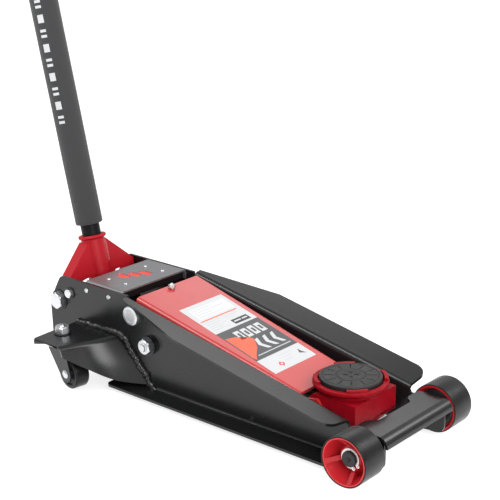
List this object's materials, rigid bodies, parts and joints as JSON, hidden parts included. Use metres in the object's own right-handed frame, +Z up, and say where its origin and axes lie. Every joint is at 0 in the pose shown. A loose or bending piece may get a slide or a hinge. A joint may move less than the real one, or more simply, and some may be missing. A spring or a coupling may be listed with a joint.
{
  "type": "hydraulic floor jack",
  "caption": "Low trolley jack: pressed-steel chassis on wheels and casters, hinged lift arm with swivel saddle, hydraulic ram and pump, forked yoke and long handle.",
  "frame": {"origin": "on the floor, below the middle of the whole jack's bounding box", "axes": "+X forward to the saddle and front wheels, +Y to the jack's left, +Z up"},
  "size_m": [0.9992, 0.432, 1.1364],
  "materials": {
    "black_paint": "satin",
    "black_cast": "matte",
    "cover_paint": "satin",
    "red_paint": "gloss",
    "red_cast": "satin",
    "tread": "satin",
    "rubber": "matte",
    "foam": "matte",
    "zinc": "satin",
    "steel": "satin",
    "dark_steel": "satin"
  },
  "bodies": {
    "frame": {"side_plate_left": "black_paint", "side_plate_right": "black_paint", "front_cross_plate": "black_paint", "rear_cover_plate": "cover_paint", "floor_pan": "black_paint", "rear_tie_bar": "black_paint", "front_axle": "dark_steel", "snap_ring_left": "zinc", "snap_ring_right": "zinc", "arm_pivot_pin": "zinc", "radius_rod_bolt_left": "zinc", "radius_rod_bolt_right": "zinc", "outrigger_left": "black_paint", "outrigger_right": "black_paint", "caster_kingpin_left": "zinc", "caster_kingpin_right": "zinc", "hydraulic_unit": "black_cast", "return_spring_left": "steel", "return_spring_right": "steel", "pump_spring": "steel", "handle_pivot_bolt_left": "zinc", "handle_pivot_bolt_right": "zinc", "stop_bolt_left": "zinc", "stop_bolt_right": "zinc", "side_screw_1_left": "zinc", "side_screw_1_right": "zinc", "side_screw_2_left": "zinc", "side_screw_2_right": "zinc"},
    "arm": {"lift_arm": "red_paint", "arm_stop_screw": "zinc", "head_pin": "steel", "ram_cross_pin": "steel"},
    "head": {"saddle_bracket": "red_cast", "radius_rod_pin_left": "steel", "radius_rod_pin_right": "steel"},
    "saddle": {"saddle": "red_cast", "saddle_pad": "rubber"},
    "rod_left": {"radius_rod_left": "black_paint"},
    "rod_right": {"radius_rod_right": "black_paint"},
    "ram": {"ram": "steel", "ram_crosshead": "dark_steel"},
    "plunger": {"pump_plunger": "steel"},
    "valve": {"release_valve": "steel"},
    "yoke": {"handle_yoke": "red_paint", "yoke_roller": "steel"},
    "handle": {"handle_tube": "black_paint", "foam_sleeve": "foam", "end_grip": "rubber"},
    "wheel_left": {"front_wheel_hub_left": "red_paint", "front_wheel_tread_left": "tread"},
    "wheel_right": {"front_wheel_hub_right": "red_paint", "front_wheel_tread_right": "tread"},
    "caster_left": {"caster_fork_left": "black_paint", "caster_axle_left": "zinc"},
    "caster_right": {"caster_fork_right": "black_paint", "caster_axle_right": "zinc"},
    "caster_roll_left": {"caster_wheel_left": "tread"},
    "caster_roll_right": {"caster_wheel_right": "tread"}
  },
  "joints": [
    {"name": "arm_lift", "type": "hinge", "parent": "frame", "child": "arm", "pos_m": [-0.0864, 0, 0.1518], "axis": [0, -1, 0], "range_deg": [0, 68]},
    {"name": "head_level", "type": "hinge", "parent": "arm", "child": "head", "pos_m": [0.3226, 0, 0.076], "axis": [0, -1, 0], "range_deg": [-68, 0]},
    {"name": "saddle_swivel", "type": "hinge", "parent": "head", "child": "saddle", "pos_m": [0.3502, 0, 0.1], "axis": [0, 0, 1], "continuous": true},
    {"name": "rod_left_swing", "type": "hinge", "parent": "frame", "child": "rod_left", "pos_m": [-0.0469, 0.068, 0.101], "axis": [0, -1, 0], "range_deg": [0, 68]},
    {"name": "rod_right_swing", "type": "hinge", "parent": "frame", "child": "rod_right", "pos_m": [-0.0469, -0.068, 0.101], "axis": [0, -1, 0], "range_deg": [0, 68]},
    {"name": "ram_slide", "type": "slide", "parent": "frame", "child": "ram", "axis": [1, 0, 0], "range_m": [0, 0.0839], "deforming": ["return_spring_left", "return_spring_right"]},
    {"name": "handle_pump", "type": "hinge", "parent": "frame", "child": "yoke", "pos_m": [-0.2964, 0, 0.134], "axis": [0, -1, 0], "range_deg": [0, 62]},
    {"name": "plunger_slide", "type": "slide", "parent": "frame", "child": "plunger", "axis": [1, 0, 0], "range_m": [0, 0.0268], "deforming": ["pump_spring"]},
    {"name": "handle_twist", "type": "hinge", "parent": "yoke", "child": "handle", "pos_m": [-0.2729, 0, 0.13889], "axis": [-0.2036, 0, 0.979], "range_deg": [-90, 90]},
    {"name": "valve_turn", "type": "hinge", "parent": "frame", "child": "valve", "pos_m": [-0.2654, 0.026, 0.134], "axis": [1, 0, 0], "range_deg": [-90, 90]},
    {"name": "front_wheel_left_roll", "type": "hinge", "parent": "frame", "child": "wheel_left", "pos_m": [0.4546, 0.133, 0.045], "axis": [0, 1, 0], "continuous": true},
    {"name": "front_wheel_right_roll", "type": "hinge", "parent": "frame", "child": "wheel_right", "pos_m": [0.4546, -0.133, 0.045], "axis": [0, 1, 0], "continuous": true},
    {"name": "caster_left_swivel", "type": "hinge", "parent": "frame", "child": "caster_left", "pos_m": [-0.2194, 0.157, 0.09], "axis": [0, 0, 1], "continuous": true},
    {"name": "caster_left_roll", "type": "hinge", "parent": "caster_left", "child": "caster_roll_left", "pos_m": [-0.1887, 0.15269, 0.031], "axis": [0.1392, 0.9903, 0], "continuous": true},
    {"name": "caster_right_swivel", "type": "hinge", "parent": "frame", "child": "caster_right", "pos_m": [-0.2194, -0.157, 0.09], "axis": [0, 0, 1], "continuous": true},
    {"name": "caster_right_roll", "type": "hinge", "parent": "caster_right", "child": "caster_roll_right", "pos_m": [-0.1887, -0.16131, 0.031], "axis": [0.1392, 0.9903, 0], "continuous": true}
  ],
  "couplings": [
    {"joint": "head_level", "follows": "arm_lift", "ratio": -1},
    {"joint": "rod_left_swing", "follows": "arm_lift", "ratio": 1},
    {"joint": "rod_right_swing", "follows": "arm_lift", "ratio": 1},
    {"joint": "ram_slide", "follows": "arm_lift", "m_per_rad": 0.07068},
    {"joint": "plunger_slide", "follows": "handle_pump", "m_per_rad": 0.02475},
    {"joint": "valve_turn", "follows": "handle_twist", "ratio": -1}
  ]
}
